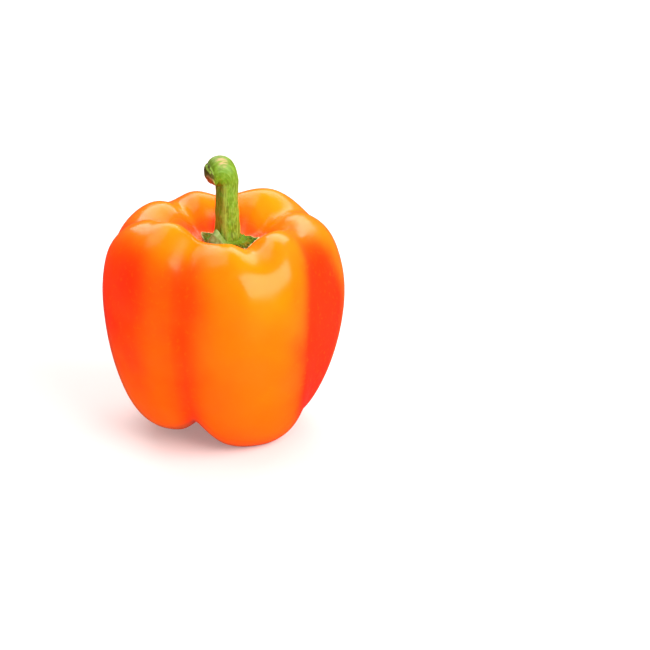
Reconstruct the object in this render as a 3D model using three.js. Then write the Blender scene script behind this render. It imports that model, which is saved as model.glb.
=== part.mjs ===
// A blocky sweet pepper standing on the heels of its lobes: the fruit, its green calyx and its hooked stem.
// Millimetres. +Z runs up through the stem, the floor is Z = 0, and the double front lobe faces -Y.
import * as THREE from "three";

// Driving dimensions of the fruit
const FRUIT_AXIS = new THREE.Vector2(-1.05, 0.9);
const SHOULDER_HEIGHT = 78.4;
const SEAT_HEIGHT = 65.5;
const BELLY_RADIUS = 42.2;
const FOOT_RADIUS = 20.6;
const GROOVE_POWER = 2.5;
const FURROW_WIDTH = 0.24;
// Grooves and swellings move the skin to and from this upright ring inside the flesh
const CORE = { radius: 16, low: 22, high: 56 };
const SWELL = { threefold: 0.35, fivefold: 0.25 };

// Half of the fruit's outline over the crest of a lobe, from the calyx's seat to the blossom scar.
// Each station also says how deep a groove between lobes and a furrow within one cut in,
// and how round the groove is.
const STATIONS = [
  { radius: 0, height: SEAT_HEIGHT, groove: 0, round: 0.3, furrow: 0 },
  { radius: 6.5, height: SEAT_HEIGHT, groove: 0, round: 0.3, furrow: 0 },
  { radius: 12, height: 66.6, groove: 1, round: 0.28, furrow: 0.6 },
  { radius: 16.6, height: 70.8, groove: 3.2, round: 0.22, furrow: 2.2 },
  { radius: 20.8, height: 75.6, groove: 5.4, round: 0.18, furrow: 3.8 },
  { radius: 26.6, height: SHOULDER_HEIGHT, groove: 6.6, round: 0.18, furrow: 4.4 },
  { radius: 33.6, height: 76.4, groove: 6, round: 0.2, furrow: 3.4 },
  { radius: 39.6, height: 69, groove: 4.8, round: 0.24, furrow: 1.3 },
  { radius: BELLY_RADIUS, height: 56, groove: 3.8, round: 0.28, furrow: 0.3 },
  { radius: 41.8, height: 41.5, groove: 3.4, round: 0.3, furrow: 0 },
  { radius: 39.2, height: 26.5, groove: 3.8, round: 0.26, furrow: 0 },
  { radius: 34.6, height: 13, groove: 5, round: 0.16, furrow: 0 },
  { radius: 28.8, height: 4.2, groove: 6.4, round: 0.1, furrow: 0 },
  { radius: FOOT_RADIUS, height: -0.3, groove: 7.4, round: 0.08, furrow: 0 },
  { radius: 14.2, height: 1.8, groove: 6, round: 0.1, furrow: 0 },
  { radius: 6.6, height: 6.4, groove: 2.4, round: 0.2, furrow: 0 },
  { radius: 0, height: 8.2, groove: 0, round: 0.3, furrow: 0 },
];
const LAST = STATIONS.length - 1;

// Zones along the outline, as a middle station and a reach in stations
const ZONES = {
  seat: [0, 9.5],
  lip: [3.8, 2.2],
  brow: [4.2, 2.8],
  shoulder: [5.5, 3.5],
  side: [8.5, 4],
  wave: [8, 7],
  heel: [12, 3.5],
  foot: [13, 2.5],
  scar: [15, 7],
};

// The four lobes, anticlockwise from above. A groove opens each one at an azimuth in degrees, bends by
// seatTurn towards the seat and by scarTurn towards the scar, and keeps only a share of its depth at the
// brow and the heel. The furrow parts the lobe's two crests, at a place from -1 to 1 across the lobe that
// shifts by lean towards the seat. The pairs hold what the first and the second crest add, in mm.
const LOBES = [
  {
    groove: { azimuth: 180, seatTurn: 0, scarTurn: 4, brow: 1, heel: 1 },
    furrow: { place: 0, lean: 0, depth: 0.1 },
    lip: [1, 4.4],
    shoulder: [1.1, 1.2],
    side: [0.4, 0],
    foot: [-2.6, -3.4],
    columns: 18,
  },
  {
    groove: { azimuth: 252, seatTurn: -3, scarTurn: -5, brow: 0.45, heel: 1 },
    furrow: { place: 0.1, lean: -0.3, depth: 1 },
    lip: [0, 0],
    shoulder: [-1.9, -0.6],
    side: [0.8, 0.8],
    foot: [0.2, 1.3],
    columns: 20,
  },
  {
    groove: { azimuth: 329, seatTurn: 27, scarTurn: 26, brow: 0.3, heel: 0.45 },
    furrow: { place: 0.04, lean: 0, depth: 1.1 },
    lip: [-3.5, 0],
    shoulder: [-2.8, 0.6],
    side: [1.15, 0.8],
    foot: [0, 0],
    columns: 28,
  },
  {
    groove: { azimuth: 448, seatTurn: 0, scarTurn: 0, brow: 0.45, heel: 1 },
    furrow: { place: -0.2, lean: 0, depth: 1 },
    lip: [0, 0],
    shoulder: [-1, -2.5],
    side: [1.6, 1],
    foot: [0, 0],
    columns: 22,
  },
];
const COLUMN_CROWDING = 0.12;
const RINGS_PER_STATION = 3;

// Calyx: five sepals that lie on the seat, joined in a collar under the stem
const CALYX_CENTRE = new THREE.Vector2(1.1, 0.9);
const SEPALS = [
  { azimuth: 7, reach: 11.2 },
  { azimuth: 80, reach: 11.2 },
  { azimuth: 142, reach: 11.9 },
  { azimuth: 228, reach: 11 },
  { azimuth: 303, reach: 10.8 },
];
const CALYX_GAP = 0.5;
const SEPAL_EDGE = 1.2;
const SEPAL_ROOT = 1.9;
const RIB_HEIGHT = 0.6;
const RIB_WIDTH = 0.16;
const COLLAR_RADIUS = 5.4;
const COLLAR_FOOT = 7.4;
const COLLAR_TOP = 69;
const BUTTRESS = { azimuth: 230, spread: 25, radius: 5.9, height: 5 };
const COLLAR_BEVEL = 0.4;
const SKIRT_SLOPE = 0.6;
const SEPAL_MIDDLE = 0.45;
const CALYX_COLUMNS = 60;

// Seat heights are found by halving this range of stations so many times
const SEAT_STATIONS = 4;
const SEAT_HALVINGS = 20;

// Stem: an upright stalk that folds over at a pivot and ends in a rounded cut
const STEM_GAP = 0.3;
const HOOK_AZIMUTH = 200;
const STEM_RADIUS = 4;
const PIVOT_HEIGHT = 88.1;
const PIVOT_OFFSET = 4.0;
const RIDGES = 5;
const RIDGE_HEIGHT = 0.18;
const STEM_COLUMNS = 30;
const STEM_RINGS_PER_ROW = 2;
const STALK_DROP = PIVOT_HEIGHT - COLLAR_TOP - STEM_GAP;

// Rings from the rounded cut end to the base. Each one is turned about the pivot by turn degrees, or
// dropped below it by drop. It runs from inner to outer in the plane of the hook, and is half wide on
// each side of that plane.
const STEM_ROWS = [
  { turn: 138, drop: 0, inner: 1.3, outer: 4.2, half: 1.7 },
  { turn: 133, drop: 0, inner: 0.8, outer: 5.3, half: 2.7 },
  { turn: 126, drop: 0, inner: 0.6, outer: 6.2, half: 3.2 },
  { turn: 117, drop: 0, inner: 0.6, outer: 7.7, half: 3.55 },
  { turn: 107, drop: 0, inner: 0.6, outer: 8.8, half: 3.75 },
  { turn: 92, drop: 0, inner: 0.6, outer: 10.2, half: 3.9 },
  { turn: 76, drop: 0, inner: 0.6, outer: 10.6, half: STEM_RADIUS },
  { turn: 60, drop: 0, inner: 0.6, outer: 10.4, half: STEM_RADIUS },
  { turn: 42, drop: 0, inner: 0.6, outer: 9.5, half: STEM_RADIUS },
  { turn: 24, drop: 0, inner: 0.5, outer: 8.6, half: STEM_RADIUS },
  { turn: 10, drop: 0, inner: 0.4, outer: 8.2, half: STEM_RADIUS },
  { turn: 0, drop: 0.4, inner: 0.3, outer: 8, half: 3.95 },
  { turn: 0, drop: 5, inner: 0.25, outer: 8.1, half: 3.95 },
  { turn: 0, drop: 10, inner: 0.1, outer: 8.3, half: 4.1 },
  { turn: 0, drop: 15, inner: -0.2, outer: 8.5, half: 4.3 },
  { turn: 0, drop: STALK_DROP, inner: -0.5, outer: 8.8, half: 4.6 },
];

const RADIANS = Math.PI / 180;

// Smooth curve through the rows of a table, at a place counted in rows
function through(rows, key, place) {
  const last = rows.length - 1;
  const i = Math.min(Math.max(Math.floor(place), 0), last - 1);
  const f = place - i;
  const before = rows[Math.max(i - 1, 0)][key];
  const from = rows[i][key];
  const to = rows[i + 1][key];
  const after = rows[Math.min(i + 2, last)][key];
  const leave = (to - before) / 2;
  const arrive = (after - from) / 2;
  const cubic = 2 * from - 2 * to + leave + arrive;
  const square = -3 * from + 3 * to - 2 * leave - arrive;
  return ((cubic * f + square) * f + leave) * f + from;
}

// Share of a zone at a station: 1 in its middle, easing to 0 at its reach
function zone([middle, reach], station) {
  const away = Math.min(Math.abs(station - middle) / reach, 1);
  return 0.5 + 0.5 * Math.cos(Math.PI * away);
}

function lobeAt(k) {
  return LOBES[(k + LOBES.length) % LOBES.length];
}

// Azimuth of the groove that opens lobe k, in degrees that go on growing round the fruit
function grooveAzimuth(k, station) {
  const groove = lobeAt(k).groove;
  const lap = Math.floor(k / LOBES.length) * 360;
  const bendAtSeat = groove.seatTurn * zone(ZONES.seat, station);
  const bendAtScar = groove.scarTurn * zone(ZONES.scar, station);
  return groove.azimuth + lap + bendAtSeat + bendAtScar;
}

// What the crests add at a place across lobe k, eased from one crest to the next. The lobe runs from -1 to 1.
function crestValue(k, across, key) {
  const crests = [
    { place: (lobeAt(k - 1).furrow.place + 1) / 2 - 2, value: lobeAt(k - 1)[key][1] },
    { place: (lobeAt(k).furrow.place - 1) / 2, value: lobeAt(k)[key][0] },
    { place: (lobeAt(k).furrow.place + 1) / 2, value: lobeAt(k)[key][1] },
    { place: (lobeAt(k + 1).furrow.place - 1) / 2 + 2, value: lobeAt(k + 1)[key][0] },
  ];
  let i = 0;
  while (i < 2 && across >= crests[i + 1].place) i++;
  const share = (across - crests[i].place) / (crests[i + 1].place - crests[i].place);
  const eased = 0.5 - 0.5 * Math.cos(Math.PI * share);
  return crests[i].value * (1 - eased) + crests[i + 1].value * eased;
}

// Point of the skin of lobe k, at a place across it and a station along it
function skinPoint(k, across, station) {
  const lobe = lobeAt(k);
  const radius = through(STATIONS, "radius", station);
  const height = through(STATIONS, "height", station);
  const outR = radius - CORE.radius;
  const outZ = height - Math.min(Math.max(height, CORE.low), CORE.high);
  const outLength = Math.hypot(outR, outZ);

  const from = grooveAzimuth(k, station);
  const to = grooveAzimuth(k + 1, station);
  const azimuth = (from + ((to - from) * (across + 1)) / 2) * RADIANS;

  const round = through(STATIONS, "round", station);
  const awayFromGroove = Math.min(Math.hypot(1 - Math.abs(across), round), 1);
  const groove = (across < 0 ? lobe : lobeAt(k + 1)).groove;
  const browShare = (groove.brow - 1) * zone(ZONES.brow, station);
  const heelShare = (groove.heel - 1) * zone(ZONES.heel, station);
  const cut = ((1 - awayFromGroove) / (1 - round)) ** GROOVE_POWER;
  const furrowPlace = lobe.furrow.place + lobe.furrow.lean * zone(ZONES.seat, station);
  const furrow = Math.exp(-(((across - furrowPlace) / FURROW_WIDTH) ** 2));

  let out = -through(STATIONS, "groove", station) * (1 + browShare + heelShare) * cut;
  out -= through(STATIONS, "furrow", station) * lobe.furrow.depth * furrow;
  for (const key of ["lip", "shoulder", "side", "foot"]) {
    out += crestValue(k, across, key) * zone(ZONES[key], station);
  }
  const slowWave = SWELL.threefold * Math.sin(3 * azimuth + 0.5 * station);
  const quickWave = SWELL.fivefold * Math.sin(5 * azimuth - 0.7 * station + 1);
  out += (slowWave + quickWave) * zone(ZONES.wave, station);

  const r = Math.max(radius + (outR / outLength) * out, 0);
  const z = Math.max(height + (outZ / outLength) * out, 0);
  return new THREE.Vector3(FRUIT_AXIS.x + r * Math.cos(azimuth), FRUIT_AXIS.y + r * Math.sin(azimuth), z);
}

// Closed skin through rings of points between an end point on each side. Seen from the first end,
// the rings run anticlockwise.
function closedSkin(first, rings, last) {
  const count = rings[0].length;
  const end = 1 + rings.length * count;
  const at = (ring, i) => 1 + ring * count + (i % count);
  const index = [];
  for (let i = 0; i < count; i++) {
    index.push(0, at(0, i), at(0, i + 1));
    for (let ring = 0; ring + 1 < rings.length; ring++) {
      index.push(at(ring, i), at(ring + 1, i), at(ring, i + 1));
      index.push(at(ring, i + 1), at(ring + 1, i), at(ring + 1, i + 1));
    }
    index.push(end, at(rings.length - 1, i + 1), at(rings.length - 1, i));
  }
  const geometry = new THREE.BufferGeometry().setFromPoints([first, ...rings.flat(), last]);
  geometry.setIndex(index);
  geometry.computeVertexNormals();
  return geometry;
}

function fruitGeometry() {
  const rings = [];
  for (let j = 1; j < LAST * RINGS_PER_STATION; j++) {
    const ring = [];
    LOBES.forEach((lobe, k) => {
      for (let i = 0; i < lobe.columns; i++) {
        const even = (2 * i) / lobe.columns - 1;
        const across = even + COLUMN_CROWDING * Math.sin(Math.PI * even);
        ring.push(skinPoint(k, across, j / RINGS_PER_STATION));
      }
    });
    rings.push(ring);
  }
  return closedSkin(skinPoint(0, 0, 0), rings, skinPoint(0, 0, LAST));
}

// Height of the seat at a point, found by halving the range of stations that holds its distance
// from the fruit's axis
function seatHeight(x, y) {
  const distance = Math.hypot(x - FRUIT_AXIS.x, y - FRUIT_AXIS.y);
  const azimuth = Math.atan2(y - FRUIT_AXIS.y, x - FRUIT_AXIS.x) / RADIANS;
  let low = 0;
  let high = SEAT_STATIONS;
  let point = skinPoint(0, 0, 0);
  for (let i = 0; i < SEAT_HALVINGS; i++) {
    const station = (low + high) / 2;
    const opening = grooveAzimuth(0, station);
    const turned = opening + THREE.MathUtils.euclideanModulo(azimuth - opening, 360);
    let k = 0;
    while (turned >= grooveAzimuth(k + 1, station)) k++;
    const width = grooveAzimuth(k + 1, station) - grooveAzimuth(k, station);
    point = skinPoint(k, (2 * (turned - grooveAzimuth(k, station))) / width - 1, station);
    if (Math.hypot(point.x - FRUIT_AXIS.x, point.y - FRUIT_AXIS.y) < distance) low = station;
    else high = station;
  }
  return point.z;
}

// Place of an azimuth between two sepals: how far out the calyx reaches there, and how close the
// nearer rib is
function sepalAt(azimuth) {
  const count = SEPALS.length;
  let k = 0;
  while (k + 1 < count && azimuth >= SEPALS[k + 1].azimuth) k++;
  const next = SEPALS[(k + 1) % count];
  const from = SEPALS[k].azimuth;
  const to = next.azimuth + (k + 1 === count ? 360 : 0);
  const share = (azimuth - from) / (to - from);
  const tip = SEPALS[k].reach * (1 - share) + next.reach * share;
  const halfSpan = ((to - from) / 2) * RADIANS;
  const reach = (tip * Math.cos(halfSpan)) / Math.cos(halfSpan * (2 * share - 1));
  return { reach, toRib: Math.min(share, 1 - share) };
}

function calyxGeometry() {
  const top = [[], [], [], [], [], [], []];
  const under = [[], [], []];
  const start = SEPALS[0].azimuth;
  const place = (azimuth, radius) => {
    const x = CALYX_CENTRE.x + radius * Math.cos(azimuth * RADIANS);
    const y = CALYX_CENTRE.y + radius * Math.sin(azimuth * RADIANS);
    return new THREE.Vector3(x, y, seatHeight(x, y) + CALYX_GAP);
  };
  for (let i = 0; i < CALYX_COLUMNS; i++) {
    const azimuth = start + (360 * i) / CALYX_COLUMNS;
    const { reach, toRib } = sepalAt(azimuth);
    const rib = RIB_HEIGHT * Math.exp(-((toRib / RIB_WIDTH) ** 2));
    const fromButtress = (azimuth - BUTTRESS.azimuth) / BUTTRESS.spread;
    const buttress = BUTTRESS.height * Math.exp(-(fromButtress ** 2));
    const level = (radius, height) => place(azimuth, radius).setZ(height);
    top[0].push(level(COLLAR_RADIUS - COLLAR_BEVEL, COLLAR_TOP));
    top[1].push(level(COLLAR_RADIUS, COLLAR_TOP));
    top[2].push(level(BUTTRESS.radius, COLLAR_TOP + buttress - COLLAR_BEVEL / 4));
    const footHeight = place(azimuth, COLLAR_FOOT).z + SEPAL_ROOT;
    const middle = (BUTTRESS.radius + COLLAR_FOOT) / 2;
    top[3].push(level(middle, (COLLAR_TOP + footHeight) / 2 + buttress * SKIRT_SLOPE + rib / 2));
    top[4].push(level(COLLAR_FOOT, footHeight + rib));
    [SEPAL_MIDDLE, 1].forEach((share, ring) => {
      const point = place(azimuth, COLLAR_FOOT + (reach - COLLAR_FOOT) * share);
      const thick = SEPAL_ROOT + (SEPAL_EDGE - SEPAL_ROOT) * share;
      point.z += thick + rib * (1 - share);
      top[5 + ring].push(point);
    });
    under[0].push(place(azimuth, reach));
    under[1].push(place(azimuth, (reach + COLLAR_FOOT) / 2));
    under[2].push(place(azimuth, COLLAR_RADIUS));
  }
  const crown = new THREE.Vector3(CALYX_CENTRE.x, CALYX_CENTRE.y, COLLAR_TOP);
  return closedSkin(crown, [...top, ...under], place(0, 0));
}

function stemGeometry() {
  const hook = HOOK_AZIMUTH * RADIANS;
  const away = new THREE.Vector3(-Math.cos(hook), -Math.sin(hook), 0);
  const up = new THREE.Vector3(0, 0, 1);
  const aside = up.clone().cross(away);
  const pivot = new THREE.Vector3(CALYX_CENTRE.x, CALYX_CENTRE.y, PIVOT_HEIGHT);
  pivot.addScaledVector(away, -PIVOT_OFFSET);

  const centres = [];
  const rings = [];
  const count = (STEM_ROWS.length - 1) * STEM_RINGS_PER_ROW;
  for (let j = 0; j <= count; j++) {
    const row = {};
    for (const key of ["turn", "drop", "inner", "outer", "half"]) {
      row[key] = through(STEM_ROWS, key, j / STEM_RINGS_PER_ROW);
    }
    const turn = row.turn * RADIANS;
    const outward = away.clone().multiplyScalar(Math.cos(turn)).addScaledVector(up, Math.sin(turn));
    const centre = pivot.clone().addScaledVector(up, -row.drop);
    centre.addScaledVector(outward, (row.inner + row.outer) / 2);
    const ring = [];
    for (let i = 0; i < STEM_COLUMNS; i++) {
      const angle = (2 * Math.PI * i) / STEM_COLUMNS;
      const ridged = 1 + (RIDGE_HEIGHT / STEM_RADIUS) * Math.cos(RIDGES * angle);
      const reach = ((row.outer - row.inner) / 2) * ridged * Math.cos(angle);
      const sideways = row.half * ridged * Math.sin(angle);
      ring.push(centre.clone().addScaledVector(outward, reach).addScaledVector(aside, sideways));
    }
    centres.push(centre);
    rings.push(ring);
  }
  return closedSkin(centres[0], rings, centres[count]);
}

function piece(name, geometry, color, roughness) {
  const mesh = new THREE.Mesh(geometry, new THREE.MeshStandardMaterial({ color, roughness }));
  mesh.name = name;
  return mesh;
}

const group = new THREE.Group();
group.name = "bell_pepper";
group.add(piece("fruit", fruitGeometry(), 0xff6a00, 0.25));
group.add(piece("calyx", calyxGeometry(), 0x3f6b1e, 0.6));
group.add(piece("stem", stemGeometry(), 0x8fae3a, 0.55));

export default group;
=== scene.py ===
"""A ripe sweet pepper standing on the heels of its lobes.

Its skin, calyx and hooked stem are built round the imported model, in a pale studio.
"""

import math

import bpy
import numpy as np
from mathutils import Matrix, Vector, noise
from mathutils.bvhtree import BVHTree


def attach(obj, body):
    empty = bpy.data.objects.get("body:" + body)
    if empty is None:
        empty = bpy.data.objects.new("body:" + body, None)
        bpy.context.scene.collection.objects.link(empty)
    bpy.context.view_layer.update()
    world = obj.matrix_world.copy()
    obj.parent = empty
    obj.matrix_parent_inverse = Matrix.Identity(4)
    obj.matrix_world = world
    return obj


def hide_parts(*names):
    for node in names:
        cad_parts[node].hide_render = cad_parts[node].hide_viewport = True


bl_info = {
    "name": "Sweet Pepper",
    "version": (1, 0, 0),
    "blender": (4, 5, 0),
    "location": "3D View > Sidebar > Sweet Pepper",
    "description": "Builds a ripe sweet pepper with its calyx and stem, and a pale studio round it",
    "category": "Add Mesh",
}

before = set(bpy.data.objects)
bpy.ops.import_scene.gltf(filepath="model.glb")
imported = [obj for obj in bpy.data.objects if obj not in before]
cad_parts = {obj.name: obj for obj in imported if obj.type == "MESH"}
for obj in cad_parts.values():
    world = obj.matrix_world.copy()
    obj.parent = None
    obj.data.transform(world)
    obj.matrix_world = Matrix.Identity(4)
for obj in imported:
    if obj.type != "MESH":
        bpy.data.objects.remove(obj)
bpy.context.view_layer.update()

MM = 0.001
FULL_TURN = 2 * math.pi

# Fruit sizes in mm and degrees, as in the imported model
FRUIT_AXIS = np.array((-1.05, 0.9))
CORE_RADIUS = 16
CORE_LOW = 22
CORE_HIGH = 56
GROOVE_POWER = 2.5
FURROW_WIDTH = 0.24
COLUMN_CROWDING = 0.12

# Outline over the crest of a lobe: radius, height, groove depth, groove roundness and furrow depth
STATIONS = np.array(
    (
        (0, 65.5, 0, 0.3, 0),
        (6.5, 65.5, 0, 0.3, 0),
        (12, 66.6, 1, 0.28, 0.6),
        (16.6, 70.8, 3.2, 0.22, 2.2),
        (20.8, 75.6, 5.4, 0.18, 3.8),
        (26.6, 78.4, 6.6, 0.18, 4.4),
        (33.6, 76.4, 6, 0.2, 3.4),
        (39.6, 69, 4.8, 0.24, 1.3),
        (42.2, 56, 3.8, 0.28, 0.3),
        (41.8, 41.5, 3.4, 0.3, 0),
        (39.2, 26.5, 3.8, 0.26, 0),
        (34.6, 13, 5, 0.16, 0),
        (28.8, 4.2, 6.4, 0.1, 0),
        (20.6, -0.3, 7.4, 0.08, 0),
        (14.2, 1.8, 6, 0.1, 0),
        (6.6, 6.4, 2.4, 0.2, 0),
        (0, 8.2, 0, 0.3, 0),
    )
)
LAST_STATION = len(STATIONS) - 1

# Zones along the outline: middle station and reach in stations
ZONES = {
    "seat": (0, 9.5),
    "lip": (3.8, 2.2),
    "brow": (4.2, 2.8),
    "shoulder": (5.5, 3.5),
    "side": (8.5, 4),
    "wave": (8, 7),
    "hollow": (2.4, 1.9),
    "crown": (5, 2),
    "heel": (12, 3.5),
    "foot": (13, 2.5),
    "scar": (15, 7),
}

# Lobes anticlockwise from above. Pairs hold what the first and the second crest of the lobe add.
LOBES = (
    {
        "groove": {"azimuth": 180, "seat_turn": 0, "scar_turn": 4, "brow": 1, "heel": 1},
        "furrow": {"place": 0, "lean": 0, "depth": 0.1},
        "lip": (1, 4.4),
        "shoulder": (1.1, 1.2),
        "side": (0.4, 0),
        "foot": (-2.6, -3.4),
        "columns": 18,
    },
    {
        "groove": {"azimuth": 252, "seat_turn": -3, "scar_turn": -5, "brow": 0.45, "heel": 1},
        "furrow": {"place": 0.1, "lean": -0.3, "depth": 1},
        "lip": (0, 0),
        "shoulder": (-1.9, -0.6),
        "side": (0.8, 0.8),
        "foot": (0.2, 1.3),
        "columns": 20,
    },
    {
        "groove": {"azimuth": 329, "seat_turn": 27, "scar_turn": 26, "brow": 0.3, "heel": 0.45},
        "furrow": {"place": 0.04, "lean": 0, "depth": 1.1},
        "lip": (-3.5, 0),
        "shoulder": (-2.8, 0.6),
        "side": (1.15, 0.8),
        "foot": (0, 0),
        "columns": 28,
    },
    {
        "groove": {"azimuth": 448, "seat_turn": 0, "scar_turn": 0, "brow": 0.45, "heel": 1},
        "furrow": {"place": -0.2, "lean": 0, "depth": 1},
        "lip": (0, 0),
        "shoulder": (-1, -2.5),
        "side": (1.6, 1),
        "foot": (0, 0),
        "columns": 22,
    },
)

# Painted shade on the skin's flanks: how much deep red stands in for shade at azimuths round the fruit,
# strongest on the left lobe and the right flank, and the station where it is strongest
PAINTED_SHADE_BY_AZIMUTH = np.array(
    (
        (0, 0.5, 9),
        (25, 0.4, 8.5),
        (60, 0.3, 8.5),
        (100, 0.35, 8.5),
        (145, 0.55, 8.5),
        (190, 0.7, 8),
        (205, 0.8, 8),
        (226, 0.8, 8),
        (236, 0.45, 8.2),
        (244, 0.15, 8.5),
        (252, 0.25, 9),
        (260, 0.05, 9),
        (284, 0, 9),
        (300, 0.25, 9),
        (308, 0.5, 8.8),
        (315, 0.65, 9),
        (321, 0.85, 9.2),
        (330, 1, 9.2),
        (345, 0.9, 9.2),
    )
)
PAINTED_SHADE_REACH = 4

# Painted shade that reddens the hollow round the calyx, and the painted light that the crest round the
# hollow adds as a negative share, turning it golden
HOLLOW_PAINTED_SHADE = 0.75
CROWN_PAINTED_LIGHT = -0.4

# Waves of the skin: height in mm, turns round the fruit, turn a station in radians and phase
SWELLS = ((0.35, 3, 0.5, 0), (0.25, 5, -0.7, 1))
RIPPLES = ((0.5, 11, 0.9, 0), (0.3, 17, -1.3, 2), (0.3, 7, 2.1, 0))

# Corky blossom scar in mm: radius, width of its soft edge, and the height that it stays under
SCAR_RADIUS = 3.2
SCAR_FADE = 1.2
SCAR_TOP = 20

# Calyx sizes in mm and degrees
CALYX_CENTRE = np.array((1.1, 0.9))
SEPALS = ((7, 11.2), (80, 11.2), (142, 11.9), (228, 11), (303, 10.8))
COLLAR_TOP = 69
FOLD_AZIMUTH = 233
FOLD_SPREAD = 27
FOLD_HEIGHT = 5.2
TIP_LIFTS = ((7, 1.2), (142, 1.2))
LIFT_SPREAD = 24
CALYX_COLUMNS = 240
KNUCKLES = 13
KNUCKLE_HEIGHT = 0.14

# Rings of the collar: radius, height over its top, what the fold adds to the radius, the share of the fold's
# height that is added, and the share of the knuckles
COLLAR_RINGS = (
    (3.4, 0.25, 0, 0, 0),
    (4.75, 0.3, 0, 0.1, 0),
    (5.25, 0.1, 0.2, 0.55, 0),
    (5.45, -0.2, 0.3, 0.92, 1),
    (5.7, -0.5, 0.3, 0.96, 1),
    (6.1, -1, 0.25, 0.82, 1),
)

# Sepals from the collar out: where they start, and their rings in shares of the way to the edge
SEPAL_START = 6.9
SEPAL_RINGS = np.concatenate((np.linspace(0, 0.9, 16), (0.95, 0.985, 1)))

# Ragged edge of the sepals: how far it draws in between the ribs, and height, scale and layer of its noises
EDGE_DIP = 0.7
EDGE_NOISES = ((0.8, 3, 2), (0.45, 13, 7))
RIB_HEIGHT = 0.6
RIB_SPREAD = 0.16
CRACKS = 17
CRACK_DEPTH = 0.4

# Clearance of the calyx from the skin in mm, under its top and under its foot
TOP_CLEARANCE = 0.15
FOOT_CLEARANCE = 0.1

# Stem sizes in mm and degrees
HOOK_AZIMUTH = 200
PIVOT_HEIGHT = 88.1
PIVOT_OFFSET = 4.0
STEM_COLUMNS = 120
RINGS_A_ROW = 8

# Rubbed patch on top of the bend
TOP_SCAR = np.array((-0.3, -2.2, 97.6))

# Plane that parts the cut end's face from the bend of the stem
END_FACE_POINT = np.array((-3.6, -3, 94))
END_FACE_NORMAL = np.array((-0.92, -0.335, -0.19))

# Ridges round the stem: azimuth about its own line, height and lightness as shares; the lightness is partly
# paler ridge colour and partly a painted highlight along each ridge
STEM_RIDGES = ((13, 0.8, 0.5), (88, 1, 0.6), (158, 0.8, 0.4), (241, 1, 1), (303, 0.6, 0.3))
RIDGE_SPREAD = 0.42
RIDGE_LIGHT_SPREAD = 0.25
SHADED_SIDE = 190
SCAB_SIDE = 262

# Rings from the rounded cut end to the base: turn about the pivot, drop below it, inner and outer reach,
# and half width
STEM_ROWS = np.array(
    (
        (138, 0, 1.3, 4.2, 1.7),
        (133, 0, 0.8, 5.3, 2.7),
        (126, 0, 0.6, 6.2, 3.2),
        (117, 0, 0.6, 7.7, 3.55),
        (107, 0, 0.6, 8.8, 3.75),
        (92, 0, 0.6, 10.2, 3.9),
        (76, 0, 0.6, 10.6, 4),
        (60, 0, 0.6, 10.4, 4),
        (42, 0, 0.6, 9.5, 4),
        (24, 0, 0.5, 8.6, 4),
        (10, 0, 0.4, 8.2, 4),
        (0, 0.4, 0.3, 8, 3.95),
        (0, 5, 0.25, 8.1, 3.95),
        (0, 10, 0.1, 8.3, 4.1),
        (0, 15, -0.2, 8.5, 4.3),
        (0, 18.8, -0.5, 8.8, 4.6),
    )
)

# Rings that close the cut end: share of the first ring's size, and how far they stand back from it
END_CAP = ((0.86, -0.12), (0.7, 0.1), (0.45, 0.3), (0.2, 0.36))
BASE_DROP = 0.35
END_DENT = 0.28
END_DENT_SPREAD = 0.45

# Photograph's view of the fruit
CAMERA_ELEVATION = math.radians(22)
CAMERA_DISTANCE = 1.2
PICTURE_WIDTH = 650
PIXEL = 0.35 * MM
ORIGIN_PIXEL = (226, 423)
SENSOR_WIDTH = 36

# Hair's breadth between the feet and the floor, and half the floor's side, in m
FLOOR_GAP = 0.05 * MM
FLOOR_REACH = 4.0

# Point in m that the softboxes look at, and each softbox: azimuth and elevation in degrees, then distance,
# width and height in m
LIT_POINT = Vector((0, 0, 0.045))
SOFTBOXES = {
    "key": (322, 33, 0.7, 0.74, 0.5),
    "top": (90, 48, 0.8, 1.0, 0.5),
    "crown": (165, 68, 0.8, 0.5, 0.35),
}


def through(rows, place):
    """Smooth curve through the rows of a table, at places counted in rows."""
    last = len(rows) - 1
    i = np.clip(np.floor(place).astype(int), 0, last - 1)
    f = (place - i)[:, None]
    before, start, end, after = (rows[np.clip(i + step, 0, last)] for step in (-1, 0, 1, 2))
    leave = (end - before) / 2
    arrive = (after - start) / 2
    cubic = 2 * start - 2 * end + leave + arrive
    square = -3 * start + 3 * end - 2 * leave - arrive
    return ((cubic * f + square) * f + leave) * f + start


def zone(name, station):
    """Share of a zone at a station: 1 in its middle, easing to 0 at its reach."""
    middle, reach = ZONES[name]
    away = np.minimum(np.abs(station - middle) / reach, 1)
    return 0.5 + 0.5 * np.cos(np.pi * away)


def waves(table, azimuth, station):
    """Sum of the waves in a table, in mm, at azimuths in radians and stations."""
    return sum(
        height * np.sin(turns * azimuth + drift * station + phase) for height, turns, drift, phase in table
    )


def lobe_at(k):
    return LOBES[k % len(LOBES)]


def groove_azimuth(k, station):
    """Azimuth in degrees of the groove that opens lobe k, growing round the fruit."""
    groove = lobe_at(k)["groove"]
    lap = k // len(LOBES) * 360
    bend = groove["seat_turn"] * zone("seat", station) + groove["scar_turn"] * zone("scar", station)
    return groove["azimuth"] + lap + bend


def crest_value(k, across, key):
    """What the crests add at places across lobe k, eased from one crest to the next."""
    places = np.array(
        (
            (lobe_at(k - 1)["furrow"]["place"] + 1) / 2 - 2,
            (lobe_at(k)["furrow"]["place"] - 1) / 2,
            (lobe_at(k)["furrow"]["place"] + 1) / 2,
            (lobe_at(k + 1)["furrow"]["place"] - 1) / 2 + 2,
        )
    )
    values = np.array((lobe_at(k - 1)[key][1], *lobe_at(k)[key], lobe_at(k + 1)[key][0]))
    i = np.clip(np.searchsorted(places, across, side="right") - 1, 0, 2)
    share = (across - places[i]) / (places[i + 1] - places[i])
    eased = 0.5 - 0.5 * np.cos(np.pi * share)
    return values[i] * (1 - eased) + values[i + 1] * eased


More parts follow.
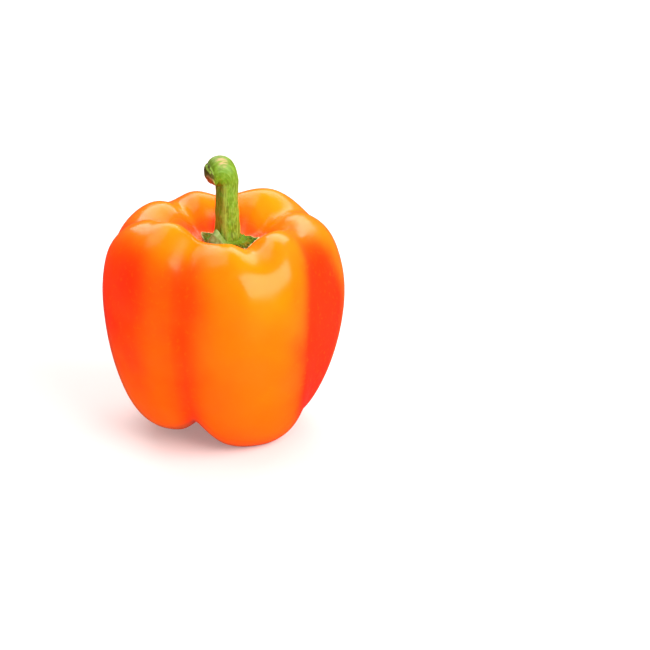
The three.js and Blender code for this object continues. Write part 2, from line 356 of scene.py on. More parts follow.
def skin_of_lobe(k, across, station, ripple):
    """Points of the skin of lobe k in mm, a row a station, and how far each is groove, painted shade and
    light, and matte.
    """
    lobe = lobe_at(k)
    radius, height, depth, roundness, furrow_depth = through(STATIONS, station).T[:, :, None]
    out_r = radius - CORE_RADIUS
    out_z = height - np.clip(height, CORE_LOW, CORE_HIGH)
    length = np.hypot(out_r, out_z)

    start = groove_azimuth(k, station)[:, None]
    end = groove_azimuth(k + 1, station)[:, None]
    azimuth = np.radians(start + (end - start) * (across + 1) / 2)

    from_groove = np.minimum(np.hypot(1 - np.abs(across), roundness), 1)
    cut = ((1 - from_groove) / (1 - roundness)) ** GROOVE_POWER
    nearer = (lobe["groove"], lobe_at(k + 1)["groove"])
    brow, heel = (np.where(across < 0, nearer[0][key], nearer[1][key]) for key in ("brow", "heel"))
    kept = 1 + (brow - 1) * zone("brow", station)[:, None]
    kept = kept + (heel - 1) * zone("heel", station)[:, None]
    furrow_place = lobe["furrow"]["place"] + lobe["furrow"]["lean"] * zone("seat", station)[:, None]
    furrow = np.exp(-(((across - furrow_place) / FURROW_WIDTH) ** 2))

    out = -depth * kept * cut - furrow_depth * lobe["furrow"]["depth"] * furrow
    for key in ("lip", "shoulder", "side", "foot"):
        out = out + crest_value(k, across, key) * zone(key, station)[:, None]
    t = station[:, None]
    waved = waves(SWELLS, azimuth, t) + ripple * waves(RIPPLES, azimuth, t)
    out = out + waved * zone("wave", station)[:, None]

    r = np.maximum(radius + out_r / length * out, 0)
    z = np.maximum(height + out_z / length * out, 0)
    x, y = FRUIT_AXIS[0] + r * np.cos(azimuth), FRUIT_AXIS[1] + r * np.sin(azimuth)

    turned = np.degrees(azimuth)
    # Painted shade: deep red by azimuth, eased over the stations round the reddest one, more in the hollow,
    # and painted light on the crest round it
    red, reddest = (np.interp(turned, PAINTED_SHADE_BY_AZIMUTH[:, 0], PAINTED_SHADE_BY_AZIMUTH[:, i], period=360) for i in (1, 2))
    blush = red * (0.5 + 0.5 * np.cos(np.pi * np.minimum(np.abs(t - reddest) / PAINTED_SHADE_REACH, 1)))
    hollow = zone("hollow", station)[:, None]
    blush += HOLLOW_PAINTED_SHADE * hollow + CROWN_PAINTED_LIGHT * zone("crown", station)[:, None]
    return np.stack((x, y, z), axis=-1), cut * np.ones_like(r), blush, hollow * np.ones_like(r)


def replace_object(name, data):
    """Links a new object with this name, in place of one from an earlier build."""
    old = bpy.data.objects.get(name)
    if old:
        bpy.data.objects.remove(old)
    new = bpy.data.objects.new(name, data)
    bpy.context.scene.collection.objects.link(new)
    return new


def closed_skin(name, first, rings, last):
    """Smooth mesh object through rings of points in mm, closed by a point at each end."""
    rings = np.asarray(rings)
    count, around = rings.shape[:2]
    vertices = np.concatenate(((first,), rings.reshape(-1, 3), (last,))) * MM
    i = np.arange(around)
    following = (i + 1) % around
    faces = [(0, 1 + a, 1 + b) for a, b in zip(i, following)]
    for ring in range(count - 1):
        here = 1 + ring * around
        there = here + around
        faces += [(here + a, there + a, there + b, here + b) for a, b in zip(i, following)]
    end = 1 + count * around
    here = 1 + (count - 1) * around
    faces += [(end, here + b, here + a) for a, b in zip(i, following)]
    mesh = bpy.data.meshes.new(name)
    mesh.from_pydata(vertices.tolist(), [], [tuple(int(v) for v in face) for face in faces])
    mesh.shade_smooth()
    mesh.update()
    return replace_object(name, mesh)


def keep_rings(piece, name, values, first=0, last=0):
    """Stores one number a vertex, for the finish to read: first point, rings, last point."""
    attribute = piece.data.attributes.new(name, "FLOAT", "POINT")
    numbers = np.concatenate(((first,), np.ravel(values), (last,)))
    attribute.data.foreach_set("value", numbers.astype(np.float32))


def keep_vectors(piece, name, values):
    """Stores one vector a vertex, for the finish to read."""
    attribute = piece.data.attributes.new(name, "FLOAT_VECTOR", "POINT")
    attribute.data.foreach_set("vector", np.asarray(values, np.float32).ravel())


def settle(piece, node, finish):
    """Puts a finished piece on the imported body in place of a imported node."""
    piece.data.materials.clear()
    piece.data.materials.append(finish)
    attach(piece, "root")
    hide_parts(node)


def linear(colour):
    """Colour with full opacity, from a colour property."""
    return (*colour, 1.0)


def new_finish(name):
    """Empty finish with its node tree and its shader."""
    old = bpy.data.materials.get(name)
    if old:
        bpy.data.materials.remove(old)
    finish = bpy.data.materials.new(name)
    finish.use_nodes = True
    return finish, finish.node_tree, finish.node_tree.nodes["Principled BSDF"]


def fill(tree, node, inputs):
    """Sets or links a node's inputs, by name or number."""
    for socket, value in inputs.items():
        if isinstance(value, bpy.types.NodeSocket):
            tree.links.new(value, node.inputs[socket])
        else:
            node.inputs[socket].default_value = value


def add_node(tree, kind, inputs, **settings):
    """Adds a node, sets or links its inputs, and returns it."""
    node = tree.nodes.new(kind)
    for key, value in settings.items():
        setattr(node, key, value)
    fill(tree, node, inputs)
    return node


def vertex_value(tree, name):
    return add_node(tree, "ShaderNodeAttribute", {}, attribute_name=name).outputs["Fac"]


def vertex_vector(tree, name):
    return add_node(tree, "ShaderNodeAttribute", {}, attribute_name=name).outputs["Vector"]


def place_on_piece(tree, scale=(1, 1, 1), vector=None):
    """Place on the piece, stretched by a scale."""
    if vector is None:
        vector = add_node(tree, "ShaderNodeTexCoord", {}).outputs["Object"]
    return add_node(tree, "ShaderNodeMapping", {"Vector": vector, "Scale": scale}).outputs["Vector"]


def mottle(tree, vector, scale, detail=2.0, roughness=0.5):
    """Soft random value, about 0.5 on average."""
    inputs = {"Vector": vector, "Scale": scale, "Detail": detail, "Roughness": roughness}
    return add_node(tree, "ShaderNodeTexNoise", inputs).outputs["Fac"]


def ramp(tree, value, low, high, to_low=0.0, to_high=1.0):
    """Value eased from one range into another."""
    inputs = {0: value, 1: low, 2: high, 3: to_low, 4: to_high}
    return add_node(tree, "ShaderNodeMapRange", inputs, interpolation_type="SMOOTHSTEP").outputs[0]


def sum_of(tree, first, second):
    return add_node(tree, "ShaderNodeMath", {0: first, 1: second}, operation="ADD").outputs[0]


def product(tree, first, second):
    return add_node(tree, "ShaderNodeMath", {0: first, 1: second}, operation="MULTIPLY").outputs[0]


def colour_mix(tree, share, first, second):
    node = add_node(tree, "ShaderNodeMix", {0: share, 6: first, 7: second}, data_type="RGBA")
    return node.outputs[2]


def bump(tree, height, strength, distance):
    inputs = {"Height": height, "Strength": strength, "Distance": distance}
    return add_node(tree, "ShaderNodeBump", inputs).outputs["Normal"]


def colour(name, description, default):
    return bpy.props.FloatVectorProperty(
        name=name, description=description, default=default, min=0, max=1, subtype="COLOR"
    )


def number(name, description, default, low, high):
    return bpy.props.FloatProperty(name=name, description=description, default=default, min=low, max=high)


class SkinSettings(bpy.types.PropertyGroup):
    detail: bpy.props.IntProperty(
        name="Detail",
        description="Rings of the mesh between two stations of the outline",
        default=14,
        min=3,
        max=20,
    )
    ripple: number("Ripple", "Height of the skin's fine ripples, in mm", 0.12, 0, 1)
    # The deep colour is painted shade, for the grooves, the shaded flanks and the hollow
    painted_shade_colour: colour("Deep colour", "Skin in the grooves and on the reddest flanks", (0.95, 0.014, 0.0))
    ripe: colour("Ripe colour", "Most of the skin", (1.0, 0.105, 0.0))
    pale: colour("Pale colour", "Least ripe patches", (1.0, 0.14, 0.0))
    # The golden colour is painted light on the crest round the hollow
    painted_light_colour: colour("Golden colour", "Skin on the crest round the hollow", (1.0, 0.15, 0.0))
    cork: colour("Scar colour", "Corky blossom scar underneath", (0.23, 0.09, 0.03))
    roughness: number("Roughness", "Roughness of the waxy skin", 0.2, 0, 1)


class CalyxSettings(bpy.types.PropertyGroup):
    edge: number("Edge", "Thickness of a sepal's edge, in mm", 0.9, 0.2, 2)
    root: number("Root", "What a sepal's thickness gains at the collar, in mm", 1.8, 0.5, 3)
    wrinkle: number("Wrinkle", "Height of the wrinkles, in mm", 0.4, 0, 1)
    leaf: colour("Leaf colour", "Most of the calyx", (0.055, 0.105, 0.002))
    dark: colour("Dark colour", "Dark veins and pits", (0.01, 0.025, 0.001))
    fresh: colour("Fresh colour", "Collar under the stem", (0.085, 0.16, 0.006))
    bloom: colour("Bloom colour", "Pale waxy fold and flecks", (0.17, 0.25, 0.09))
    rim: colour("Rim colour", "Pale worn edges", (0.4, 0.4, 0.17))
    dry: colour("Dry colour", "Olive-brown patches", (0.13, 0.095, 0.003))


class StemSettings(bpy.types.PropertyGroup):
    ridge: number("Ridge", "Height of the five ridges, in mm", 0.3, 0, 1)
    stripe: number("Stripe", "Height of the fine lengthwise ribs, in mm", 0.03, 0, 0.3)
    fresh: colour("Fresh colour", "Most of the stem", (0.095, 0.16, 0.005))
    # The deep colour is painted for the stem's shaded side
    painted_shade_colour: colour("Deep colour", "Shaded side of the stem", (0.07, 0.19, 0.001))
    light: colour("Light colour", "Pale ridges and flecks", (0.17, 0.27, 0.03))
    olive: colour("Olive colour", "Dark streaks, furrows and the base", (0.045, 0.045, 0.001))
    tan: colour("Tan colour", "Rubbed skin round the cut and on top of the bend", (0.32, 0.2, 0.08))
    scab: colour("Scab colour", "Dried cut end", (0.19, 0.05, 0.01))


class StudioSettings(bpy.types.PropertyGroup):
    floor: colour("Floor colour", "Pale floor", (0.47, 0.4, 0.385))
    glow: number("Glow", "Brightness of the floor's own light, as on a light table", 0.22, 0, 2)
    surround: number("Surround", "Brightness of the white surround", 0.95, 0, 5)
    mirrored: number("Mirrored surround", "Brightness of the surround in the gloss", 0.08, 0, 5)
    key: number("Key", "Power of the front softbox, in watts", 13, 0, 200)
    top: number("Top", "Power of the softbox behind, in watts", 8, 0, 200)
    crown: number("Crown", "Power of the overhead softbox, in watts", 2.4, 0, 200)


def skin_finish(settings):
    finish, tree, shader = new_finish("skin")
    place = place_on_piece(tree)
    groove = vertex_value(tree, "groove")
    blush = vertex_value(tree, "blush")
    clouds = mottle(tree, place, 28, detail=3)
    specks = mottle(tree, place, 650, detail=2)

    # Painted shade: deeper red in the grooves, added to the painted flank and hollow shade and the crest's
    # painted light, with random ripeness clouds on top
    painted_light_shade_and_tone = sum_of(tree, product(tree, ramp(tree, groove, 0.2, 1), 0.5), product(tree, blush, 0.95))
    painted_light_shade_and_tone = sum_of(tree, painted_light_shade_and_tone, ramp(tree, clouds, 0.35, 0.7, -0.1, 0.1))
    paler = ramp(tree, clouds, 0.3, 0.62, 0.6, 0)
    ripe = colour_mix(tree, paler, linear(settings.ripe), linear(settings.pale))
    # Painted light: the crest round the hollow turns golden where the painted share is below zero
    painted_light_share = ramp(tree, painted_light_shade_and_tone, -0.45, 0.0, 0.9, 0.0)
    ripe = colour_mix(tree, painted_light_share, ripe, linear(settings.painted_light_colour))
    skin = colour_mix(tree, ramp(tree, painted_light_shade_and_tone, 0.0, 0.95), ripe, linear(settings.painted_shade_colour))
    skin = colour_mix(tree, ramp(tree, specks, 0.55, 0.8, 0, 0.18), skin, linear(settings.pale))
    skin = colour_mix(tree, vertex_value(tree, "scar"), skin, linear(settings.cork))

    smooth, dull = settings.roughness - 0.03, settings.roughness + 0.05
    uneven = ramp(tree, mottle(tree, place, 90), 0.3, 0.7, smooth, dull)
    rough = sum_of(tree, uneven, product(tree, vertex_value(tree, "scar"), 0.5))
    rough = sum_of(tree, rough, product(tree, vertex_value(tree, "matte"), 0.12))
    cells = mottle(tree, place, 1400, detail=1)
    fill(tree, shader, {
        "Base Color": skin,
        "Roughness": rough,
        "Normal": bump(tree, cells, 0.05, 0.0002),
        "Specular IOR Level": 0.2,
        "Specular Tint": (1.0, 0.84, 0.58, 1.0),
        "Subsurface Weight": 0.12,
        "Subsurface Radius": (1.0, 0.25, 0.05),
        "Subsurface Scale": 0.004,
    })
    return finish


def leaf_finish(settings):
    finish, tree, shader = new_finish("calyx_green")
    place = place_on_piece(tree)
    patches = mottle(tree, place, 240, detail=3, roughness=0.6)
    fine = mottle(tree, place, 900, detail=3, roughness=0.6)
    specks = mottle(tree, place_on_piece(tree, (1, 1, 0.6)), 1500, detail=2)
    green = colour_mix(tree, ramp(tree, patches, 0.42, 0.6), linear(settings.leaf), linear(settings.dry))
    green = colour_mix(tree, ramp(tree, fine, 0.5, 0.62, 0, 0.85), green, linear(settings.dark))
    green = colour_mix(tree, product(tree, vertex_value(tree, "fresh"), 0.85), green, linear(settings.fresh))
    green = colour_mix(tree, ramp(tree, specks, 0.6, 0.72, 0, 0.5), green, linear(settings.bloom))
    rubbed = product(tree, vertex_value(tree, "bloom"), ramp(tree, fine, 0.35, 0.6, 1, 0.55))
    green = colour_mix(tree, rubbed, green, linear(settings.bloom))
    pale = product(tree, vertex_value(tree, "edge"), ramp(tree, fine, 0.42, 0.58, 1, 0.35))
    green = colour_mix(tree, pale, green, linear(settings.rim))
    fill(tree, shader, {
        "Base Color": green,
        "Roughness": ramp(tree, patches, 0.3, 0.7, 0.5, 0.7),
        "Normal": bump(tree, fine, 0.6, 0.0004),
        "Specular IOR Level": 0.03,
    })
    return finish


def stalk_finish(settings):
    finish, tree, shader = new_finish("stem_green")
    grain = vertex_vector(tree, "grain")
    stripes = mottle(tree, place_on_piece(tree, (1, 1, 0.06), grain), 900, detail=3, roughness=0.6)
    bands = mottle(tree, place_on_piece(tree, (1, 1, 0.12), grain), 330, detail=3)
    flecks = mottle(tree, place_on_piece(tree, (1, 1, 0.25), grain), 2000, detail=2)
    ridge = vertex_value(tree, "ridge")
    streaks = mottle(tree, place_on_piece(tree, (1, 1, 0.1), grain), 1300, detail=2, roughness=0.6)
    arcs = mottle(tree, place_on_piece(tree, (0.25, 0.25, 1), grain), 1100, detail=2)
    # Painted shade: the stem's shaded side takes the deep colour
    fresh = colour_mix(tree, vertex_value(tree, "shaded"), linear(settings.fresh), linear(settings.painted_shade_colour))
    # Pale ridge lines: partly the ridges' own paler colour, partly a painted highlight along them, with
    # random fine stripes
    lit = sum_of(tree, product(tree, ridge, 0.75), product(tree, stripes, 0.55))
    green = colour_mix(tree, ramp(tree, lit, 0.3, 0.95), fresh, linear(settings.light))
    # Random olive bands, a little darker towards the base of the stem
    olive_share = sum_of(tree, product(tree, bands, 0.8), product(tree, vertex_value(tree, "base"), 0.12))
    green = colour_mix(tree, ramp(tree, olive_share, 0.45, 0.75, 0, 0.4), green, linear(settings.olive))
    straight = ramp(tree, vertex_value(tree, "bend"), 0, 1, 1, 0.2)
    dark_streaks = product(tree, ramp(tree, streaks, 0.5, 0.62, 0, 0.5), straight)
    green = colour_mix(tree, dark_streaks, green, linear(settings.olive))
    light_flecks = product(tree, ramp(tree, flecks, 0.5, 0.64, 0, 0.6), straight)
    green = colour_mix(tree, light_flecks, green, linear(settings.light))
    spots = mottle(tree, place_on_piece(tree, (1, 1, 0.5), grain), 1100, detail=3, roughness=0.6)
    green = colour_mix(tree, ramp(tree, spots, 0.5, 0.62, 0, 0.35), green, linear(settings.light))
    green = colour_mix(tree, ramp(tree, spots, 0.36, 0.47, 0.22, 0), green, linear(settings.olive))
    end_green = colour_mix(tree, ramp(tree, arcs, 0.5, 0.62), linear(settings.olive), linear(settings.light))
    green = colour_mix(tree, vertex_value(tree, "end_face"), green, end_green)
    tan = product(tree, vertex_value(tree, "top_scar"), ramp(tree, flecks, 0.4, 0.56, 0.15, 1))
    green = colour_mix(tree, tan, green, linear(settings.tan))
    green = colour_mix(tree, product(tree, vertex_value(tree, "rim"), 0.8), green, linear(settings.tan))
    dried = colour_mix(tree, ramp(tree, flecks, 0.4, 0.65), linear(settings.scab), linear(settings.olive))
    green = colour_mix(tree, vertex_value(tree, "scab"), green, dried)
    fill(tree, shader, {
        "Base Color": green,
        "Roughness": ramp(tree, stripes, 0.3, 0.7, 0.38, 0.55),
        "Normal": bump(tree, stripes, 0.5, 0.0003),
        "Specular IOR Level": 0.2,
    })
    return finish


def floor_finish(settings):
    finish, tree, shader = new_finish("floor_white")
    clouds = mottle(tree, place_on_piece(tree), 3, detail=3)
    white = linear(settings.floor)
    dim = (white[0] * 0.99, white[1] * 0.99, white[2] * 0.99, 1)
    fill(tree, shader, {
        "Base Color": colour_mix(tree, clouds, white, dim),
        "Emission Color": (1.0, 0.93, 0.91, 1.0),
        "Emission Strength": settings.glow,
        "Roughness": 0.6,
        "Specular IOR Level": 0.2,
    })
    return finish


class PEPPER_OT_build_skin(bpy.types.Operator):
    """Build the four-lobed skin from the seat of the calyx to the blossom scar"""

    bl_idname = "pepper.build_skin"
    bl_label = "Build skin"
    bl_options = {"REGISTER"}

    def execute(self, context):
        settings = context.scene.pepper_skin
        stations = np.arange(1, LAST_STATION * settings.detail) / settings.detail
        lobes = []
        for k, lobe in enumerate(LOBES):
            columns = round(lobe["columns"] * settings.detail / 4)
            even = 2 * np.arange(columns) / columns - 1
            across = even + COLUMN_CROWDING * np.sin(np.pi * even)
            lobes.append(skin_of_lobe(k, across, stations, settings.ripple))
        rings, groove, blush, matte = (np.concatenate(parts, axis=1) for parts in zip(*lobes))
        seat = (*FRUIT_AXIS, STATIONS[0, 1])
        scar = (*FRUIT_AXIS, STATIONS[-1, 1])

        skin = closed_skin("fruit_skin", seat, rings, scar)
        radius = np.hypot(rings[..., 0] - FRUIT_AXIS[0], rings[..., 1] - FRUIT_AXIS[1])
        corky = np.clip((SCAR_RADIUS - radius) / SCAR_FADE, 0, 1) * (rings[..., 2] < SCAR_TOP)
        keep_rings(skin, "groove", groove)
        keep_rings(skin, "blush", blush)
        keep_rings(skin, "matte", matte)
        keep_rings(skin, "scar", corky, last=1)
        settle(skin, "fruit", skin_finish(settings))
        return {"FINISHED"}


def sepal_at(azimuth):
    """How far out the calyx reaches at an azimuth, and how close the nearer rib is, in shares of a sepal."""
    azimuth = (azimuth - SEPALS[0][0]) % 360 + SEPALS[0][0]
    starts = [start for start, tip in SEPALS] + [SEPALS[0][0] + 360]
    tips = [tip for start, tip in SEPALS] + [SEPALS[0][1]]
    k = int(np.searchsorted(starts, azimuth, side="right")) - 1
    span = starts[k + 1] - starts[k]
    share = (azimuth - starts[k]) / span
    tip = tips[k] * (1 - share) + tips[k + 1] * share
    half_span = math.radians(span / 2)
    return tip * math.cos(half_span) / math.cos(half_span * (2 * share - 1)), min(share, 1 - share)


def round_noise(angle, scale, layer):
    """Noise that closes on itself round the calyx."""
    return noise.noise(Vector((math.cos(angle) * scale, math.sin(angle) * scale, layer)))


def apart(first, second):
    """Signed angle in degrees from one azimuth to another, the short way round."""
    return (first - second + 180) % 360 - 180


def calyx_column(azimuth, settings, seat_height):
    """Points down one side of the calyx in mm, over the top and back underneath, each with three shares.

    The shares say how far the point is pale bloom, worn edge and fresh collar.
    """
    angle = math.radians(azimuth)
    way = np.array((math.cos(angle), math.sin(angle)))
    reach, to_rib = sepal_at(azimuth)
    reach -= EDGE_DIP * math.sin(math.pi * to_rib)
    for height, scale, layer in EDGE_NOISES:
        reach += height * round_noise(angle, scale, layer)
    rib = RIB_HEIGHT * math.exp(-((to_rib / RIB_SPREAD) ** 2))
    fold = math.exp(-((apart(azimuth, FOLD_AZIMUTH) / FOLD_SPREAD) ** 2))
    raised = sum(lift * math.exp(-((apart(azimuth, tip) / LIFT_SPREAD) ** 2)) for tip, lift in TIP_LIFTS)
    worn = 0.95 + 0.7 * round_noise(angle, 4, 11)
    knuckle = KNUCKLE_HEIGHT * math.cos(KNUCKLES * angle) * (1 - fold)
    crack = 0.5 + 0.5 * math.cos(CRACKS * angle + 1)

    points = []
    shares = []
    for radius, over, wider, lifted, knuckled in COLLAR_RINGS:
        x, y = CALYX_CENTRE + (radius + wider * fold + knuckled * knuckle) * way
        points.append((x, y, COLLAR_TOP + over + FOLD_HEIGHT * fold * lifted))
        shares.append((fold**0.7, 0, 1))

    under = []
    for share in SEPAL_RINGS:
        x, y = CALYX_CENTRE + (SEPAL_START + (reach - SEPAL_START) * share) * way
        base = seat_height(x, y)
        thick = settings.edge + settings.root * (1 - share) ** 0.7
        lift = settings.wrinkle * noise.noise(Vector((x, y, 3)) * 0.8)
        lift += 0.8 * settings.wrinkle * noise.noise(Vector((x, y, 9)) * 1.9)
        curl = 0.5 * share**3 * (0.5 + round_noise(angle, 2, 5)) + raised * share**3
        height = base + TOP_CLEARANCE + thick + rib * (1 - share) + lift + curl
        height += FOLD_HEIGHT * fold * 0.62 * (1 - share) ** 2
        height -= CRACK_DEPTH * crack * (1 - share) * share * 4
        if share > 0.97:
            height -= thick * (0.15 if share < 1 else 0.5)
        points.append((x, y, height))
        bloom = fold**0.7 * (1 - share) ** 0.6
        edge = worn * min(1, max(0, share - 0.8) * 9)
        shares.append((bloom, edge, max(0, 1 - 3 * share) * (1 - 0.5 * crack)))
        under.append((x, y, base + FOOT_CLEARANCE + curl * 0.7))

    points += under[::-1]
    shares += [(0, worn, 0)] + [(0, 0, 0)] * (len(under) - 1)
    return points, shares


class PEPPER_OT_build_calyx(bpy.types.Operator):
    """Build the green calyx, draped on the seat of the skin"""

    bl_idname = "pepper.build_calyx"
    bl_label = "Build calyx"
    bl_options = {"REGISTER"}

    def execute(self, context):
        settings = context.scene.pepper_calyx
        skin = bpy.data.objects["fruit_skin"].data
        corners = [vertex.co for vertex in skin.vertices]
        tree = BVHTree.FromPolygons(corners, [tuple(face.vertices) for face in skin.polygons])
        over_stem = 0.12
        down = Vector((0, 0, -1))

        def seat_height(x, y):
            return tree.ray_cast(Vector((x * MM, y * MM, over_stem)), down)[0].z / MM

        turns = [SEPALS[0][0] + 360 * i / CALYX_COLUMNS for i in range(CALYX_COLUMNS)]
        points, shares = zip(*(calyx_column(turn, settings, seat_height) for turn in turns))
        rings = np.array(points).transpose(1, 0, 2)
        bloom, edge, fresh = np.clip(np.array(shares).transpose(2, 1, 0), 0, 1)
        crown = (*CALYX_CENTRE, COLLAR_TOP + COLLAR_RINGS[0][1])
        foot = (*CALYX_CENTRE, seat_height(*CALYX_CENTRE) + FOOT_CLEARANCE)
        calyx = closed_skin("calyx_sepals", crown, rings, foot)
        keep_rings(calyx, "bloom", bloom)
        keep_rings(calyx, "edge", edge)
        keep_rings(calyx, "fresh", fresh, first=1)
        settle(calyx, "calyx", leaf_finish(settings))
        return {"FINISHED"}


class PEPPER_OT_build_stem(bpy.types.Operator):
    """Build the ridged stem with its hook and its dried cut end"""

    bl_idname = "pepper.build_stem"
    bl_label = "Build stem"
    bl_options = {"REGISTER"}

    def execute(self, context):
        settings = context.scene.pepper_stem
        hook = math.radians(HOOK_AZIMUTH)
        away = np.array((-math.cos(hook), -math.sin(hook), 0))
        up = np.array((0, 0, 1))
        aside = np.cross(up, away)
        pivot = np.array((*CALYX_CENTRE, PIVOT_HEIGHT)) - PIVOT_OFFSET * away

        count = (len(STEM_ROWS) - 1) * RINGS_A_ROW
        place = np.arange(count + 1) / RINGS_A_ROW
        turn, drop, inner, outer, half = through(STEM_ROWS, place).T
        turn = np.radians(turn)
        outward = np.cos(turn)[:, None] * away + np.sin(turn)[:, None] * up
        centre = pivot - drop[:, None] * up + outward * ((inner + outer) / 2)[:, None]
        angle = np.arange(STEM_COLUMNS) * FULL_TURN / STEM_COLUMNS
        share = place / (len(STEM_ROWS) - 1)
        along = np.concatenate(((0,), np.cumsum(np.linalg.norm(np.diff(centre, axis=0), axis=1))))

        phase = angle[None, :] + 0.25 * (share - 0.75)[:, None]
        ridges = np.zeros((count + 1, STEM_COLUMNS))
        crest = np.zeros((count + 1, STEM_COLUMNS))
        for azimuth, height, light in STEM_RIDGES:
            from_ridge = (phase - math.radians(azimuth) + math.pi) % FULL_TURN - math.pi
            ridges += height * np.exp(-((from_ridge / RIDGE_SPREAD) ** 2))
            crest += light * np.exp(-((from_ridge / RIDGE_LIGHT_SPREAD) ** 2))
        on_stalk = np.clip((place - 6) / 5, 0.1, 1)[:, None]
        crest *= on_stalk
        stripes = np.sin(31 * phase + 2 * np.sin(3 * share)[:, None]) * np.cos(7 * phase + 1)
        round_stem = [(math.cos(a) * 1.6, math.sin(a) * 1.6) for a in angle]
        lumps = np.array([[noise.noise(Vector((x, y, s * 0.32))) for x, y in round_stem] for s in along])
        base = np.clip((share - 0.9) / 0.1, 0, 1)[:, None]
        knuckles = KNUCKLE_HEIGHT * base**2 * np.cos(KNUCKLES * angle)[None, :]
        ripple = 0.5 * settings.ridge + settings.stripe * stripes + 0.3 * lumps + knuckles
        swell = (settings.ridge * (ridges - 1) * on_stalk + ripple) / 4
        fade = np.clip(place / 3, 0, 1)[:, None]
        wide = 1 + swell * fade
        hooked = np.clip((8.5 - place) / 2, 0, 1)[:, None]
        reach = ((outer - inner) / 2)[:, None] * wide * np.cos(angle)
        sideways = half[:, None] * wide * np.sin(angle)
        rings = centre[:, None, :] + outward[:, None, :] * reach[..., None] + aside * sideways[..., None]
        rings[-1, :, 2] -= BASE_DROP
        past_rim = (rings - END_FACE_POINT) @ END_FACE_NORMAL
        dent = END_DENT * hooked * np.exp(-((past_rim / END_DENT_SPREAD) ** 2))
        rings += (centre[:, None, :] - rings) * (dent / 4)[..., None]

        along_end = np.cross(aside, outward[0])
        cap = [centre[0] + (rings[0] - centre[0]) * shrink - along_end * back for shrink, back in END_CAP]
        rings = np.concatenate((np.array(cap[::-1]), rings))
        first = centre[0] - along_end * END_CAP[-1][1]
        last = centre[-1] - up * BASE_DROP
        stem = closed_skin("stem_stalk", first, rings, last)

        def keep(name, values, at_cap, at_base=0):
            """Stores a share over the stalk's rings, with one value for all of the closed end."""
            stalk = np.broadcast_to(values, (count + 1, STEM_COLUMNS))
            end = np.full((len(cap), STEM_COLUMNS), at_cap)
            keep_rings(stem, name, np.concatenate((end, stalk)), at_cap, at_base)

        grain = np.stack(
            (
                np.tile(np.cos(angle) * 4, (count + 1, 1)),
                np.tile(np.sin(angle) * 4, (count + 1, 1)),
                np.tile(along[:, None], (1, STEM_COLUMNS)),
            ),
            axis=-1,
        )
        grain = np.concatenate((np.repeat(grain[:1], len(cap), axis=0), grain)).reshape(-1, 3) * MM
        keep_vectors(stem, "grain", np.concatenate((((0, 0, 0),), grain, ((0, 0, along[-1] * MM),))))
        keep("ridge", crest, 0)
        keep("base", base, 0, 1)
        shaded = 0.5 + 0.5 * np.cos(angle - math.radians(SHADED_SIDE))
        keep_rings(stem, "shaded", np.tile(shaded, len(rings)))
        keep("bend", 1 - on_stalk, 1)

        to_scab_side = np.cos(angle - math.radians(SCAB_SIDE))
        past = place[:, None] - (1.3 + 1.2 * to_scab_side + 0.12 * np.sin(7 * angle))
        keep("scab", np.clip(0.5 - past / 0.7, 0, 1), 1)
        keep("rim", np.clip(0.4 + to_scab_side, 0, 1) * np.exp(-((past / 0.35) ** 2)), 0)
        keep("end_face", hooked * np.clip(0.5 + past_rim / 0.5, 0, 1), 1)
        from_top = np.linalg.norm(rings[len(cap) :] - TOP_SCAR, axis=-1)
        keep("top_scar", np.clip(1.5 - from_top / 1.8, 0, 1), 0)
        settle(stem, "stem", stalk_finish(settings))
        return {"FINISHED"}


def softbox(name, power):
    """Rectangular light that looks at the fruit from its place in the table."""
    azimuth, elevation, distance, width, height = SOFTBOXES[name]
    data = bpy.data.lights.new(f"{name}_softbox", "AREA")
    data.shape = "RECTANGLE"
    data.size, data.size_y = width, height
    data.energy = power
    light = replace_object(f"{name}_softbox", data)
    a, e = math.radians(azimuth), math.radians(elevation)
    back = Vector((math.cos(e) * math.cos(a), math.cos(e) * math.sin(a), math.sin(e)))
    light.location = LIT_POINT + back * distance
    light.rotation_mode = "QUATERNION"
    light.rotation_quaternion = (-back).to_track_quat("-Z", "Y")


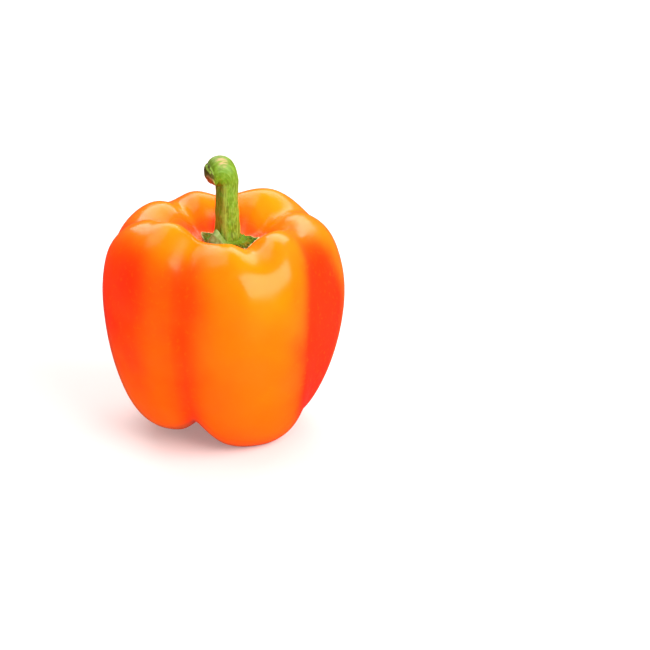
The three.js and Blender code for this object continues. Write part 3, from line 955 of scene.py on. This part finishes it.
class PEPPER_OT_build_studio(bpy.types.Operator):
    """Build the pale floor, the soft lights, the white surround and the camera"""

    bl_idname = "pepper.build_studio"
    bl_label = "Build studio"
    bl_options = {"REGISTER"}

    def execute(self, context):
        settings = context.scene.pepper_studio
        scene = context.scene
        mesh = bpy.data.meshes.new("studio_floor")
        signs = ((-1, -1), (1, -1), (1, 1), (-1, 1))
        corners = [(x * FLOOR_REACH, y * FLOOR_REACH, -FLOOR_GAP) for x, y in signs]
        mesh.from_pydata(corners, [], [(0, 1, 2, 3)])
        floor = replace_object("studio_floor", mesh)
        mesh.materials.append(floor_finish(settings))
        floor.visible_glossy = False

        for name in SOFTBOXES:
            softbox(name, getattr(settings, name))

        world = bpy.data.worlds.new("white_surround")
        world.use_nodes = True
        background = world.node_tree.nodes["Background"]
        background.inputs["Color"].default_value = (1, 1, 1, 1)
        glossy = add_node(world.node_tree, "ShaderNodeLightPath", {}).outputs["Is Glossy Ray"]
        strength = ramp(world.node_tree, glossy, 0, 1, settings.surround, settings.mirrored)
        world.node_tree.links.new(strength, background.inputs["Strength"])
        scene.world = world
        scene.view_settings.view_transform = "Standard"

        camera = replace_object("camera", bpy.data.cameras.new("camera"))
        looking = Vector((0, math.cos(CAMERA_ELEVATION), -math.sin(CAMERA_ELEVATION)))
        right = Vector((1, 0, 0))
        up = right.cross(looking)
        middle = PICTURE_WIDTH / 2
        aim = right * (middle - ORIGIN_PIXEL[0]) * PIXEL + up * (ORIGIN_PIXEL[1] - middle) * PIXEL
        camera.location = aim - looking * CAMERA_DISTANCE
        camera.rotation_mode = "QUATERNION"
        camera.rotation_quaternion = looking.to_track_quat("-Z", "Y")
        camera.data.sensor_width = SENSOR_WIDTH
        camera.data.lens = SENSOR_WIDTH * CAMERA_DISTANCE / (PICTURE_WIDTH * PIXEL)
        scene.camera = camera
        return {"FINISHED"}


class PEPPER_PT_panel(bpy.types.Panel):
    """Sizes and colours of the pepper, with a button for each piece"""

    bl_label = "Sweet Pepper"
    bl_idname = "PEPPER_PT_panel"
    bl_space_type = "VIEW_3D"
    bl_region_type = "UI"
    bl_category = "Sweet Pepper"

    def draw(self, context):
        for name, build in PARTS:
            box = self.layout.box()
            settings = getattr(context.scene, name)
            for key in settings.__annotations__:
                box.prop(settings, key)
            box.operator(build.bl_idname)


PARTS = (
    ("pepper_skin", PEPPER_OT_build_skin),
    ("pepper_calyx", PEPPER_OT_build_calyx),
    ("pepper_stem", PEPPER_OT_build_stem),
    ("pepper_studio", PEPPER_OT_build_studio),
)
GROUPS = (SkinSettings, CalyxSettings, StemSettings, StudioSettings)
CLASSES = (*GROUPS, *(build for name, build in PARTS), PEPPER_PT_panel)


def register():
    for cls in CLASSES:
        bpy.utils.register_class(cls)
    for (name, build), group in zip(PARTS, GROUPS):
        setattr(bpy.types.Scene, name, bpy.props.PointerProperty(type=group))


def unregister():
    for name, build in PARTS:
        delattr(bpy.types.Scene, name)
    for cls in reversed(CLASSES):
        bpy.utils.unregister_class(cls)


def main():
    register()
    bpy.ops.pepper.build_skin()
    bpy.ops.pepper.build_calyx()
    bpy.ops.pepper.build_stem()
    bpy.ops.pepper.build_studio()


if __name__ == "__main__":
    main()
